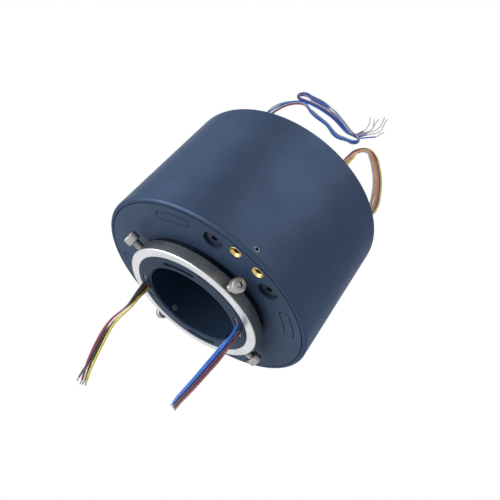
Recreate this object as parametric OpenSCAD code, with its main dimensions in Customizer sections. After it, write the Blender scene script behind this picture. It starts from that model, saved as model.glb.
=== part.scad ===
// Through-bore electrical slip ring with twelve circuits.
// The bore axis is Y and the origin lies on it, in the plane of the housing's front face.
// The clamp collar stands out of the front face at -Y. The stator's leads leave the rear cap at +Y.
// Angles are counted about the bore from +X towards +Z. A depth is the distance behind the front face.

/* [Housing] */
// Length of the housing over both caps
housing_l = 75.5; // [66:0.5:90]
// Wall of the shell around a cap
shell_wall = 2.3; // [2.2:0.1:3.4]
// Step in the shell that a cap seats on
seat_step = 1; // [0.6:0.1:1.2]
// Rounding of the shell's rims
rim_round = 1.8; // [0.8:0.1:2]
// Chamfer on the shell's edge at the seam between shell and cap
seam_chamfer = 0.15; // [0.1:0.05:0.5]

/* [End caps] */
// Width of the band around the hub that carries a cap's outlets and screws
band_w = 12.57; // [11.5:0.01:14]
// Thickness of a cap's flange
cap_t = 8; // [7:0.5:9]
// Thickness of the lip that covers a bearing
lip_t = 3; // [2.5:0.1:3.5]
// Wall of the hub around a bearing
hub_wall = 2.1; // [1.6:0.1:2.4]
// Angle of the stator's fastening pattern
stator_angle = 59; // [50:1:70]
// Distance from the cap's edge to the middle of an outlet slot
outlet_inset = 6.9; // [5.6:0.01:7]
// Width of an outlet slot
outlet_w = 5.4; // [5:0.2:6.4]
// Angle from an outlet slot's middle to the centre of its round end
outlet_half_angle = 7.8; // [6:0.2:9]
// Gap around the plug of an outlet slot
plug_gap = 0.25; // [0.1:0.05:0.3]

/* [Fasteners] */
// Distance from the cap's edge to the axis of a cap screw
cap_screw_inset = 8.37; // [7:0.01:8.5]
// Angle from the pattern's middle to a cap screw
cap_screw_angle = 19.5; // [18:0.5:21]
// Thread diameter of a cap screw
cap_screw_d = 5; // [4:0.5:5]
// Head diameter of a cap screw
cap_head_d = 8.5; // [7.5:0.25:9]
// Head height of a cap screw
cap_head_h = 2.8; // [2:0.2:3.2]
// Diameter of the recess around a cap screw's head
recess_d = 10; // [9.4:0.2:10.4]
// Depth of that recess
recess_t = 4.2; // [3.6:0.2:4.8]
// Length of a cap screw under its head
cap_screw_l = 16; // [12:1:20]
// Distance from the cap's edge to the axis of a threaded insert
insert_inset = 4.87; // [3.9:0.01:4.9]
// Angle from the pattern's middle to an insert
insert_angle = 7; // [6:0.5:8]
// Outside diameter of an insert
insert_d = 6; // [5.4:0.2:6.4]
// Bore diameter of an insert
insert_bore_d = 3.3; // [2.6:0.1:3.6]
// Depth of the cone at an insert's mouth
insert_mouth = 1; // [0.4:0.1:1.1]
// Length of an insert
insert_l = 6; // [5:0.5:6.5]
// Diameter of the set screws that hold the shell to the front cap
shell_screw_d = 3; // [2:0.5:3]
// Length of those set screws
shell_screw_l = 6; // [4:0.5:7]

/* [Bearings] */
// Radial height of a bearing, from its bore to its outside
bearing_h = 10; // [9.6:0.1:10.2]
// Width of a bearing
bearing_w = 10; // [9:0.5:11]
// Diameter of a ball
ball_d = 6; // [5:0.25:6.2]
// Number of balls in a bearing
ball_count = 22; // [12:1:24]
// Height of the gap between the shoulders of the two races
shoulder_gap = 4.8; // [4.4:0.1:5]
// Running clearance between ball and raceway
ball_clearance = 0.15; // [0.1:0.05:0.2]
// Thickness of a cage in the radial direction
cage_t = 2.4; // [1.6:0.2:2.8]
// Thickness of a retaining ring
snap_t = 1.5; // [1:0.1:1.8]
// Height that a retaining ring stands out of the sleeve
snap_h = 2; // [1.6:0.1:2.2]

/* [Rotor] */
// Diameter of the through bore
bore_d = 50; // [46:0.5:52]
// Wall of the sleeve
sleeve_wall = 7.5; // [7:0.1:7.8]
// Length of the sleeve that stands out of the front face
sleeve_out = 9.8; // [9.4:0.1:12]
// Length of the sleeve that stands out of the rear face
sleeve_tail = 1; // [0.5:0.1:2]
// Chamfer at the ends of the bore
bore_chamfer = 0.8; // [0.3:0.1:1.2]
// Angle of the first clamp screw
rotor_angle = 53; // [45:1:60]
// Distance from the bore's wall to the middle of a lead slot in the sleeve
lead_slot_inset = 3.8; // [3.4:0.1:4.1]
// Width of a lead slot
lead_slot_w = 2; // [1.4:0.1:2.4]
// Angle from a lead slot's middle to its end
lead_slot_half_angle = 16; // [10:1:20]
// Depth of the lead slots in the sleeve
lead_slot_l = 60; // [50:1:62]

/* [Clamp collar] */
// Wall of the collar
collar_wall = 4.9; // [4:0.1:6]
// Width of the collar
collar_w = 6.5; // [6:0.1:7]
// Gap between the collar and the front face
collar_gap = 2.9; // [2:0.1:3]
// Thread diameter of a clamp screw
clamp_screw_d = 4; // [3:0.5:4]
// Head diameter of a clamp screw
clamp_head_d = 7; // [6:0.25:7.5]
// Head height of a clamp screw
clamp_head_h = 4; // [3:0.5:5]
// Length of a clamp screw under its head
clamp_screw_l = 16; // [14.5:0.5:16]
// Distance from the collar to the head of a backed-out clamp screw
clamp_travel = 4.2; // [3:0.1:5]

/* [Contacts] */
// Number of contact rings
ring_count = 12; // [6:1:12]
// Width of a contact ring
ring_w = 2.4; // [2:0.1:2.6]
// Radial height of a contact ring
ring_h = 3; // [2:0.1:3.2]
// Thickness of the insulating barrel under the rings
barrel_t = 3.5; // [3:0.1:3.8]
// Height that a barrier stands above the rings
barrier_h = 1.2; // [0.6:0.1:1.6]
// Depth of a brush groove in a ring
groove_t = 0.35; // [0.2:0.05:0.5]
// Distance from a ring's middle to its brush grooves
groove_offset = 0.6; // [0.5:0.05:0.7]
// Diameter of a brush wire
brush_d = 0.5; // [0.3:0.05:0.6]
// Half angle of a brush holder
holder_half_angle = 25; // [24:0.5:27]
// Distance from a holder's middle plane to the inner side of its feet
foot_from_middle = 9; // [8:0.5:10]
// Width of a holder's foot
foot_w = 5; // [4:0.5:6]

/* [Leads] */
// Diameter of a bundle of leads
bundle_d = 3.4; // [3:0.1:3.6]
// Diameter of a tinned wire end
tinned_d = 0.8; // [0.5:0.1:1]

/* [Hidden] */
$fn = 96;
fit = 0.03;          // clearance of a press or seat fit
screw_fit = 0.05;    // clearance of a screw in its thread
eps = 0.5;           // overrun of a cutter
end_relief = 0.02;   // what a slot's round end is narrower than its long sides
sleeve_r = bore_d / 2 + sleeve_wall;
lead_slot_r = bore_d / 2 + lead_slot_inset;
bearing_r = sleeve_r + bearing_h;
hub_r = bearing_r + hub_wall;
cap_r = hub_r + band_w;
housing_r = cap_r + fit + shell_wall;
shell_mid_r = cap_r + fit - seat_step;
outlet_circle_r = cap_r - outlet_inset;
cap_screw_circle_r = cap_r - cap_screw_inset;
insert_circle_r = cap_r - insert_inset;
hub_t = lip_t + bearing_w;
ball_circle_r = sleeve_r + bearing_h / 2;
raceway_r = ball_d / 2 + ball_clearance;
snap_r = sleeve_r + snap_h;
snap_seat_t = 1.2;   // depth of a retaining ring's groove in the sleeve
opening_r = snap_r + 0.8;
barrel_l = housing_l - 2 * hub_t;
barrel_r = sleeve_r + barrel_t;
ring_r = barrel_r + ring_h;
barrier_r = ring_r + barrier_h;
ring_pitch = barrel_l / ring_count;
holder_in_r = hub_r + 0.4;
holder_out_r = shell_mid_r - 0.8;
foot_in = barrier_r + 0.8;
foot_margin = 0.5;
wire_contact_r = ring_r - groove_t + brush_d / 2 + 0.2;
wire_root = [foot_in + 2.4, foot_from_middle + foot_w / 2];
collar_r = sleeve_r + collar_wall;
collar_mid = -(collar_gap + collar_w / 2);
screw_count = 4;
outlet_offset = 45;  // from the fastening pattern's middle to the first outlet
set_screw_offset = 1.2; // from that middle to the first set screw
seam_w = 0.4;        // width of the groove around the cap's face, at the seam
seam_t = 0.8;        // depth of that groove
plug_relief = 0.2;   // what a plug is narrower at the cap's face than below it
plug_relief_t = 1.2; // depth of that relief
lead_seat = 3.5;     // depth of a stator lead's start in its grommet
snap_gap = 4.4;      // gap between the ends of a retaining ring
grommet_lip = 1;
grommet_lip_t = 1.5;
tinned_l = 5;
tip_gap = 0.25;      // from a bundle's or a hank's end to its tinned tips
floor_z = -59.5;     // lowest line of the leads that lie beside the housing
lie_z = floor_z + bundle_d / 2;

// Points of each lead bundle's route. At the rear, Y is counted from the housing's rear face.
front_left_route = [
    [-28.5, -9.8, -4], [-28.5, -15, -4], [-29, -21, -5.5], [-31, -26, -9], [-34.5, -31, -14],
    [-37.5, -36.5, -21], [-40, -42, -29], [-42, -47.5, -37.5], [-43.5, -53, -46], [-44, -57, -52]
];
front_right_route = [
    [28.5, -9.8, 4], [28.5, -15, 4], [27.5, -20, 2], [25.5, -24.5, -3.5], [22.5, -29, -11],
    [19, -33, -20], [15, -37, -30], [11, -40, -40], [7.5, -42, -50]
];
rear_left_route = [
    [-48.8, -3.5, -12.2], [-48.8, 4.5, -12.2], [-48.8, 11.5, -13.7], [-49, 17.5, -18], [-49.5, 22.5, -25],
    [-50, 26.5, -33], [-51, 30.5, -41], [-53, 35.5, -49], [-56, 42.5, -55], [-60, 51.5, lie_z],
    [-65, 63.5, lie_z], [-71, 76.5, lie_z], [-77, 90.5, lie_z], [-82, 104.5, lie_z],
    [-85, 118.5, lie_z], [-85.5, 130.5, lie_z], [-84, 140.5, lie_z], [-80, 149, lie_z],
    [-74.8, 155.5, lie_z]
];
rear_left_tail_route = [[-5.4, 141.5, lie_z], [-3.6, 144.9, lie_z], [-2.6, 148.5, lie_z]];
rear_left_tips = [[-10, 169.5], [-6, 167.5], [-3, 170.5], [0, 174.5], [3, 174.5], [8, 156.5]];
rear_right_route = [
    [12.2, -3.5, -48.8], [12.2, 4.5, -48.8], [12.1, 12.5, -50.7], [12, 20.5, -54.5], [11.5, 29.5, -57.2],
    [10.5, 40.5, lie_z], [8.5, 53.5, lie_z], [6, 66.5, lie_z], [3, 79.5, lie_z], [0, 92.5, lie_z],
    [-2, 105.5, lie_z], [-2, 117.5, lie_z], [1, 127.5, lie_z], [7, 131, lie_z], [13, 126.5, lie_z],
    [20, 116.5, lie_z], [26, 104.5, lie_z], [31, 91.5, lie_z], [34.5, 78.5, lie_z], [34, 69.5, lie_z],
    [32.2, 64.4, lie_z]
];
// The centres of each folded hank's two round ends, their radii, and the hank's height.
left_hank = [[-65, 160.5], [-8, 137]];
left_hank_r = [10.5, 5];
left_hank_h = 6;
right_hank = [[30, 57.5], [26, 18.5]];
right_hank_r = [7, 7];
right_hank_h = 8;
tie_w = 3;
tie_t = 0.8;
potting_recess = 0.4;    // from the sleeve's end to the potting's face
potting_end = 0.2;       // depth at which the potting ends
wires_in_slot = 6;
wire_d = 1.15;
wire_pitch_angle = 3.2;

// Turns the local Z onto the bore axis: local X and Y become X and Z, local Z becomes the depth.
module along_bore() {
    rotate([90, 0, 0])
        mirror([0, 0, 1])
            children();
}

// Places the children at both ends of the housing, mirrored at its middle.
module at_rear() {
    translate([0, 0, housing_l])
        mirror([0, 0, 1])
            children();
}

module around(count, start = 0) {
    for (i = [0 : count - 1])
        rotate([0, 0, start + i * 360 / count])
            children();
}

module at_angles(angles, radius = 0) {
    for (a = angles)
        rotate([0, 0, a])
            translate([radius, 0, 0])
                children();
}

// A slot bent along a circle, with round ends that are a touch narrower than the slot.
module arc_slot(middle_r, width, half_angle) {
    reach = 1.4 * (middle_r + width);
    intersection() {
        difference() {
            circle(middle_r + width / 2);
            circle(middle_r - width / 2);
        }
        polygon([
            [0, 0],
            [reach * cos(half_angle), -reach * sin(half_angle)],
            [reach * cos(half_angle), reach * sin(half_angle)]
        ]);
    }
    for (side = [-1, 1])
        rotate(side * half_angle)
            translate([middle_r, 0])
                circle(width / 2 - end_relief);
}

function two_sides(angle) = [stator_angle - angle, stator_angle + angle];
function four_sides(angle) = concat(two_sides(angle), [for (a = two_sides(angle)) a + 180]);
function outlet_angles() = [for (k = [0 : 3]) stator_angle + outlet_offset + k * 90];
lead_outlets = [outlet_angles()[1], outlet_angles()[2]];
plugged_rear_outlets = [outlet_angles()[0], outlet_angles()[3]];

// ---------------------------------------------------------------- stator

module shell() {
    module rim() {
        translate([shell_mid_r - eps, -eps])
            square([cap_r + fit - shell_mid_r + eps, cap_t + eps]);
        translate([cap_r + fit, -seam_chamfer])
            rotate(45)
                square(seam_chamfer * sqrt(2), center = true);
        translate([cap_r + fit, 0])
            rotate(45)
                square(seam_chamfer * sqrt(2), center = true);
        difference() {
            translate([housing_r - rim_round, -eps])
                square([rim_round + eps, rim_round + eps]);
            translate([housing_r - rim_round, rim_round])
                circle(rim_round);
        }
    }
    color([0.14, 0.17, 0.23])
        along_bore()
            difference() {
                rotate_extrude()
                    difference() {
                        translate([shell_mid_r, 0])
                            square([housing_r - shell_mid_r, housing_l]);
                        rim();
                        translate([0, housing_l])
                            mirror([0, 1])
                                rim();
                    }
                shell_screw_holes();
            }
}

module shell_screw_holes() {
    around(3, stator_angle + set_screw_offset)
        translate([housing_r - shell_screw_l - 0.3, 0, cap_t / 2])
            rotate([0, 90, 0])
                cylinder(d = shell_screw_d + 2 * screw_fit, h = shell_screw_l + 1);
}

// One end cap: a flange that seats in the shell and a hub that holds a bearing.
module cap_body() {
    difference() {
        rotate_extrude()
            difference() {
                union() {
                    translate([opening_r, 0])
                        square([cap_r - opening_r, cap_t]);
                    translate([opening_r, 0])
                        square([hub_r - opening_r, hub_t]);
                }
                translate([0, lip_t])
                    square([bearing_r + fit, bearing_w + eps]);
                translate([cap_r - seam_w, -eps])
                    square([seam_w + eps, seam_t + eps]);
                translate([opening_r, 0])
                    rotate(45)
                        square(0.8, center = true);
            }
        at_angles(outlet_angles())
            translate([0, 0, -eps])
                linear_extrude(cap_t + 2 * eps)
                    arc_slot(outlet_circle_r, outlet_w, outlet_half_angle);
        at_angles(four_sides(cap_screw_angle), cap_screw_circle_r) {
            translate([0, 0, -eps])
                cylinder(d = recess_d, h = recess_t + eps);
            translate([0, 0, -eps])
                cylinder(d = cap_screw_d + 0.4, h = cap_t + 2 * eps);
        }
    }
}

module front_cap() {
    color([0.16, 0.19, 0.25])
        along_bore()
            difference() {
                cap_body();
                at_angles(two_sides(insert_angle), insert_circle_r)
                    translate([0, 0, -eps])
                        cylinder(d = insert_d + 2 * fit, h = insert_l + 0.6 + eps);
                shell_screw_holes();
            }
}

module rear_cap() {
    color([0.16, 0.19, 0.25])
        along_bore()
            at_rear()
                cap_body();
}

module outlet_plug() {
    plug_w = outlet_w - 2 * plug_gap;
    linear_extrude(cap_t)
        arc_slot(outlet_circle_r, plug_w - 2 * plug_relief, outlet_half_angle);
    translate([0, 0, plug_relief_t])
        linear_extrude(cap_t - 2 * plug_relief_t)
            arc_slot(outlet_circle_r, plug_w, outlet_half_angle);
}

module front_outlet_plugs() {
    color([0.17, 0.2, 0.26])
        along_bore()
            at_angles(outlet_angles())
                outlet_plug();
}

module rear_outlet_plugs() {
    color([0.17, 0.2, 0.26])
        along_bore()
            at_rear()
                at_angles(plugged_rear_outlets)
                    outlet_plug();
}

// Rubber grommets in the two rear outlets that the stator's leads use.
module lead_grommets() {
    color([0.05, 0.05, 0.06])
        along_bore()
            at_rear()
                at_angles(lead_outlets)
                    difference() {
                        union() {
                            linear_extrude(cap_t)
                                arc_slot(outlet_circle_r, outlet_w - 2 * plug_gap, outlet_half_angle);
                            translate([0, 0, -grommet_lip_t])
                                linear_extrude(grommet_lip_t)
                                    arc_slot(outlet_circle_r, outlet_w + 2 * grommet_lip, outlet_half_angle);
                        }
                        translate([outlet_circle_r, 0, -grommet_lip_t - eps])
                            cylinder(d = bundle_d + 0.3, h = cap_t + grommet_lip_t + 2 * eps);
                    }
}

module threaded_inserts() {
    bore_r = insert_bore_d / 2;
    bevel = 0.15;
    color([0.85, 0.68, 0.32])
        along_bore()
            at_angles(two_sides(insert_angle), insert_circle_r)
                rotate_extrude()
                    polygon([
                        [bore_r + insert_mouth, 0], [insert_d / 2 - bevel, 0], [insert_d / 2, bevel],
                        [insert_d / 2, insert_l], [bore_r, insert_l], [bore_r, insert_mouth]
                    ]);
}

// A screw with a hexagon socket. Its head's upper face lies at z = 0 and its shank points along +Z.
module socket_screw(head_d, head_h, shank_d, shank_l, key, bevel = 0.3) {
    difference() {
        rotate_extrude()
            polygon([
                [0, 0], [head_d / 2 - bevel, 0], [head_d / 2, bevel], [head_d / 2, head_h],
                [shank_d / 2, head_h], [shank_d / 2, head_h + shank_l - bevel],
                [shank_d / 2 - bevel, head_h + shank_l], [0, head_h + shank_l]
            ]);
        translate([0, 0, -eps])
            cylinder(d = key / cos(30), h = 0.55 * head_h + eps, $fn = 6);
    }
}

module cap_screw() {
    translate([0, 0, recess_t - cap_head_h])
        socket_screw(cap_head_d, cap_head_h, cap_screw_d, cap_screw_l, 3);
}

module front_cap_screws() {
    color([0.12, 0.12, 0.14])
        along_bore()
            at_angles(four_sides(cap_screw_angle), cap_screw_circle_r)
                cap_screw();
}

module rear_cap_screws() {
    color([0.12, 0.12, 0.14])
        along_bore()
            at_rear()
                at_angles(four_sides(cap_screw_angle), cap_screw_circle_r)
                    cap_screw();
}

module shell_set_screws() {
    color([0.35, 0.36, 0.38])
        along_bore()
            around(3, stator_angle + set_screw_offset)
                translate([housing_r - 0.3, 0, cap_t / 2])
                    rotate([0, -90, 0])
                        difference() {
                            cylinder(d = shell_screw_d, h = shell_screw_l);
                            translate([0, 0, -eps])
                                cylinder(d = 1.5 / cos(30), h = 1.5 + eps, $fn = 6);
                        }
}

// ---------------------------------------------------------------- bearings

module raceway() {
    translate([ball_circle_r, lip_t + bearing_w / 2])
        circle(raceway_r);
}

module outer_race() {
    shoulder_r = ball_circle_r + shoulder_gap / 2;
    rotate_extrude()
        difference() {
            translate([shoulder_r, lip_t])
                square([bearing_r - shoulder_r, bearing_w]);
            raceway();
        }
}

module inner_race() {
    shoulder_r = ball_circle_r - shoulder_gap / 2;
    rotate_extrude()
        difference() {
            translate([sleeve_r + fit, lip_t])
                square([shoulder_r - sleeve_r - fit, bearing_w]);
            raceway();
        }
}

module balls() {
    around(ball_count)
        translate([ball_circle_r, 0, lip_t + bearing_w / 2])
            sphere(d = ball_d, $fn = 32);
}

// A ring with one pocket for each ball.
module cage() {
    cage_w = min(bearing_w - 1.6, ball_d + 2);
    difference() {
        rotate_extrude()
            translate([ball_circle_r - cage_t / 2, lip_t + bearing_w / 2 - cage_w / 2])
                square([cage_t, cage_w]);
        around(ball_count)
            translate([ball_circle_r - cage_t, 0, lip_t + bearing_w / 2])
                rotate([0, 90, 0])
                    cylinder(r = raceway_r, h = 2 * cage_t);
    }
}

module front_outer_race() {
    color([0.75, 0.76, 0.78])
        along_bore()
            outer_race();
}

module rear_outer_race() {
    color([0.75, 0.76, 0.78])
        along_bore()
            at_rear()
                outer_race();
}

module front_inner_race() {
    color([0.75, 0.76, 0.78])
        along_bore()
            inner_race();
}

module rear_inner_race() {
    color([0.75, 0.76, 0.78])
        along_bore()
            at_rear()
                inner_race();
}

module front_balls() {
    color([0.85, 0.86, 0.88])
        along_bore()
            balls();
}

module rear_balls() {
    color([0.85, 0.86, 0.88])
        along_bore()
            at_rear()
                balls();
}

module front_cage() {
    color([0.72, 0.6, 0.35])
        along_bore()
            cage();
}

module rear_cage() {
    color([0.72, 0.6, 0.35])
        along_bore()
            at_rear()
                cage();
}

// ---------------------------------------------------------------- contacts

// A curved bar with two feet. The brush wires are clamped in the feet.
module brush_holder(middle_angle) {
    module bar() {
        intersection() {
            difference() {
                circle(holder_out_r);
                circle(holder_in_r);
            }
            polygon([
                [0, 0],
                [2 * housing_r * cos(holder_half_angle), -2 * housing_r * sin(holder_half_angle)],
                [2 * housing_r * cos(holder_half_angle), 2 * housing_r * sin(holder_half_angle)]
            ]);
        }
    }
    module feet() {
        for (side = [-1, 1])
            translate([foot_in, side * (foot_from_middle + foot_w / 2) - foot_w / 2])
                square([holder_in_r + 1 - foot_in, foot_w]);
    }
    color([0.78, 0.74, 0.64])
        along_bore()
            rotate([0, 0, middle_angle])
                difference() {
                    union() {
                        translate([0, 0, cap_t])
                            linear_extrude(housing_l - 2 * cap_t)
                                bar();
                        translate([0, 0, hub_t + foot_margin])
                            linear_extrude(barrel_l - 2 * foot_margin)
                                feet();
                    }
                    for (a = [-cap_screw_angle, cap_screw_angle])
                        rotate([0, 0, a])
                            translate([cap_screw_circle_r, 0, 0])
                                cylinder(d = cap_screw_d + 2 * screw_fit, h = housing_l);
                    brush_wires(brush_d + 2 * fit);
                }
}

// Two wires for each ring, one from each foot, laid against the ring's two grooves.
module brush_wires(wire_d) {
    reach = norm(wire_root);
    turn = atan2(wire_root[1], wire_root[0]) - acos(wire_contact_r / reach);
    wire_l = sqrt(pow(reach, 2) - pow(wire_contact_r, 2)) + 1.5;
    for (i = [0 : ring_count - 1])
        for (side = [-1, 1])
            translate([0, 0, hub_t + (i + 0.5) * ring_pitch + side * groove_offset])
                mirror([0, side < 0 ? 1 : 0, 0])
                    translate([wire_root[0], wire_root[1], 0])
                        rotate([0, 0, turn])
                            rotate([90, 0, 0])
                                cylinder(d = wire_d, h = wire_l, $fn = 16);
}

module brush_holder_a() {
    brush_holder(stator_angle);
}

module brush_holder_b() {
    brush_holder(stator_angle + 180);
}

module brushes(middle_angle) {
    color([0.9, 0.78, 0.4])
        along_bore()
            rotate([0, 0, middle_angle])
                brush_wires(brush_d);
}

module brushes_a() {
    brushes(stator_angle);
}

module brushes_b() {
    brushes(stator_angle + 180);
}

// The insulating barrel, with a barrier between every two rings.
module ring_barrel() {
    color([0.82, 0.8, 0.72])
        along_bore()
            rotate_extrude()
                difference() {
                    translate([sleeve_r + fit, hub_t])
                        square([barrier_r - sleeve_r - fit, barrel_l]);
                    for (i = [0 : ring_count - 1])
                        translate([barrel_r, hub_t + (i + 0.5) * ring_pitch - ring_w / 2])
                            square([barrier_r, ring_w]);
                }
}

module contact_rings() {
    in_r = barrel_r + fit;
    half_w = ring_w / 2 - fit;
    color([0.88, 0.7, 0.3])
        along_bore()
            for (i = [0 : ring_count - 1])
                translate([0, 0, hub_t + (i + 0.5) * ring_pitch])
                    rotate_extrude()
                        polygon([
                            [in_r, -half_w], [ring_r, -half_w],
                            [ring_r, -groove_offset - groove_t], [ring_r - groove_t, -groove_offset],
                            [ring_r, -groove_offset + groove_t], [ring_r, groove_offset - groove_t],
                            [ring_r - groove_t, groove_offset], [ring_r, groove_offset + groove_t],
                            [ring_r, half_w], [in_r, half_w]
                        ]);
}

// ---------------------------------------------------------------- rotor

module clamp_screw_holes() {
    around(screw_count, rotor_angle)
        translate([bore_d / 2 - 2, 0, collar_mid])
            rotate([0, 90, 0])
                cylinder(d = clamp_screw_d + 2 * screw_fit, h = sleeve_wall + collar_wall + 4);
}

// The hollow shaft that carries the rings. Lead slots run lengthwise inside its wall.
module sleeve() {
    slot_out_r = lead_slot_r + lead_slot_w / 2;
    window_l = barrel_l - 8;
    color([0.2, 0.22, 0.26])
        along_bore()
            difference() {
                rotate_extrude()
                    difference() {
                        translate([bore_d / 2, -sleeve_out])
                            square([sleeve_wall, housing_l + sleeve_out + sleeve_tail]);
                        for (end = [-sleeve_out, housing_l + sleeve_tail])
                            translate([bore_d / 2, end])
                                rotate(45)
                                    square(bore_chamfer * sqrt(2), center = true);
                        for (end = [-sleeve_out, housing_l + sleeve_tail])
                            translate([sleeve_r, end])
                                rotate(45)
                                    square(0.3 * sqrt(2), center = true);
                        for (groove = [lip_t - snap_t - fit, housing_l - lip_t])
                            translate([sleeve_r - snap_seat_t, groove])
                                square([snap_seat_t + eps, snap_t + fit]);
                    }
                translate([0, 0, -sleeve_out - eps])
                    linear_extrude(lead_slot_l + eps)
                        at_lead_slots([0 : 3])
                            arc_slot(lead_slot_r, lead_slot_w, lead_slot_half_angle);
                for (k = [1, 3])
                    rotate([0, 0, rotor_angle + 45 + 90 * k])
                        translate([lead_slot_r, -4, hub_t + 4])
                            cube([sleeve_wall, 8, min(window_l, lead_slot_l - sleeve_out - hub_t - 5)]);
                clamp_screw_holes();
            }
}

module at_lead_slots(which) {
    for (k = which)
        rotate(rotor_angle + 45 + 90 * k)
            children();
}

// Resin that holds the leads in the two slots that they come out of.
module slot_potting() {
    color([0.45, 0.48, 0.52])
        along_bore()
            translate([0, 0, potting_recess - sleeve_out])
                linear_extrude(potting_end + sleeve_out - potting_recess)
                    at_lead_slots([1, 3])
                        arc_slot(lead_slot_r, lead_slot_w - 2 * fit, lead_slot_half_angle);
}

module clamp_collar() {
    bevel = 0.4;
    inner_r = sleeve_r + fit;
    color([0.82, 0.82, 0.84])
        along_bore()
            difference() {
                rotate_extrude()
                    polygon([
                        [inner_r + 0.15, -collar_gap - collar_w], [collar_r - bevel, -collar_gap - collar_w],
                        [collar_r, -collar_gap - collar_w + bevel], [collar_r, -collar_gap - bevel],
                        [collar_r - bevel, -collar_gap], [inner_r, -collar_gap],
                        [inner_r, -collar_gap - collar_w + 0.15]
                    ]);
                clamp_screw_holes();
            }
}

// The wires that run from the rings to the potting, side by side in the two lead slots.
module slot_wires() {
    row = [for (i = [0 : wires_in_slot - 1]) (i - (wires_in_slot - 1) / 2) * wire_pitch_angle];
    color([0.15, 0.35, 0.75])
        along_bore()
            translate([0, 0, potting_end])
                at_lead_slots([1, 3])
                    at_angles(row, lead_slot_r)
                        cylinder(d = wire_d, h = lead_slot_l - sleeve_out - potting_end - 4, $fn = 24);
}

// One clamp screw, backed out of the collar.
module clamp_screw(index) {
    color([0.8, 0.79, 0.76])
        along_bore()
            rotate([0, 0, rotor_angle + index * 360 / screw_count])
                translate([collar_r + clamp_travel + clamp_head_h, 0, collar_mid])
                    rotate([0, -90, 0])
                        socket_screw(clamp_head_d, clamp_head_h, clamp_screw_d, clamp_screw_l, 3, 0.4);
}

// A split ring in a groove of the sleeve, against the bearing's inner race.
module retaining_ring() {
    difference() {
        translate([0, 0, lip_t - snap_t])
            linear_extrude(snap_t)
                difference() {
                    circle(snap_r);
                    circle(sleeve_r - snap_seat_t + fit);
                    translate([0, -snap_gap / 2])
                        square([2 * snap_r, snap_gap]);
                }
        for (side = [-1, 1])
            rotate([0, 0, side * 7])
                translate([sleeve_r + 0.3, 0, 0])
                    cylinder(d = 1.2, h = 2 * lip_t);
    }
}

module front_retaining_ring() {
    color([0.3, 0.31, 0.33])
        along_bore()
            retaining_ring();
}

module rear_retaining_ring() {
    color([0.3, 0.31, 0.33])
        along_bore()
            at_rear()
                retaining_ring();
}

// ---------------------------------------------------------------- leads

function unit(v) = v / norm(v);
function heading(route, i) = unit(route[min(i + 1, len(route) - 1)] - route[max(i - 1, 0)]);
function across(v, h) = unit(v - (v * h) * h);
// One side vector for each route point, carried along without twist.
function carried(route, i, v) =
    i == len(route) ? [] :
    let (w = across(v, heading(route, i)))
    concat([w], carried(route, i + 1, w));

// A plain round tube along a route.
module tube(route, diameter, sides = 8) {
    side_vectors = carried(route, 0, [0.3, 0.1, 1]);
    last = len(route) - 1;
    corners = [
        for (i = [0 : last])
            let (w = side_vectors[i], b = cross(heading(route, i), w))
            for (k = [0 : sides - 1])
                route[i] + diameter / 2 * (cos(k * 360 / sides) * w + sin(k * 360 / sides) * b)
    ];
    walls = [
        for (i = [0 : last - 1])
            for (k = [0 : sides - 1])
                let (n = (k + 1) % sides)
                [i * sides + k, (i + 1) * sides + k, (i + 1) * sides + n, i * sides + n]
    ];
    start_face = [for (k = [0 : sides - 1]) k];
    end_face = [for (k = [sides - 1 : -1 : 0]) last * sides + k];
    polyhedron(points = corners, faces = concat(walls, [start_face], [end_face]), convexity = 10);
}

// A straight round rod between two points.
module rod(from, to, diameter) {
    d = to - from;
    translate(from)
        rotate([0, acos(d[2] / norm(d)), atan2(d[1], d[0])])
            cylinder(d = diameter, h = norm(d), $fn = 16);
}

// Moves the children from the front face's plane to the rear face's.
module from_rear_face() {
    translate([0, housing_l, 0])
        children();
}

// Six tinned ends that leave the end of a bundle side by side, straight on.
module straight_tips(route) {
    last = len(route) - 1;
    h = heading(route, last);
    w = across([0, 0, 1], h);
    b = cross(h, w);
    for (i = [0 : 5])
        let (from = route[last] + 1.2 * (cos(60 * i) * w + sin(60 * i) * b))
            rod(from, from + tinned_l * h, tinned_d);
}

// A flat outline with two round ends that may differ in size.
module hank(ends, radii, height) {
    d = ends[1] - ends[0];
    lean = acos((radii[0] - radii[1]) / norm(d));
    translate([ends[0][0], ends[0][1], floor_z])
        rotate([0, 0, atan2(d[1], d[0])])
            linear_extrude(height)
                union() {
                    circle(radii[0] - end_relief);
                    translate([norm(d), 0])
                        circle(radii[1] - end_relief);
                    polygon([
                        for (side = [-1, 1])
                            for (k = side < 0 ? [0, 1] : [1, 0])
                                [k * norm(d) + radii[k] * cos(lean), side * radii[k] * sin(lean)]
                    ]);
                }
}

module front_left_lead() {
    color([0.7, 0.2, 0.25])
        tube(front_left_route, bundle_d);
}

module front_left_tips() {
    color([0.75, 0.75, 0.75])
        straight_tips(front_left_route);
}

module front_right_lead() {
    color([0.1, 0.3, 0.7])
        tube(front_right_route, bundle_d);
}

module front_right_tips() {
    color([0.75, 0.75, 0.75])
        straight_tips(front_right_route);
}

// A lead inside the housing: it leaves one side of a brush holder along the wall, turns through
// a quarter of an oval and runs straight into its grommet.
function inner_route(side) =
    let (
        first = [holder_half_angle + 0.5, housing_l - 2 * cap_t],
        last = [outlet_offset, housing_l - cap_t - 0.3],
        at = function(angle, depth) [
            outlet_circle_r * cos(stator_angle + 180 + side * angle), depth,
            outlet_circle_r * sin(stator_angle + 180 + side * angle)
        ]
    )
    concat(
        [for (i = [0 : 5])
            at(first[0] + (last[0] - first[0]) * sin(i * 18), first[1] + (last[1] - first[1]) * (1 - cos(i * 18)))],
        [at(outlet_offset, housing_l - lead_seat - 0.1)]
    );

module inner_stator_leads() {
    color([0.15, 0.35, 0.75])
        for (side = [-1, 1])
            tube(inner_route(side), bundle_d);
}

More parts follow.
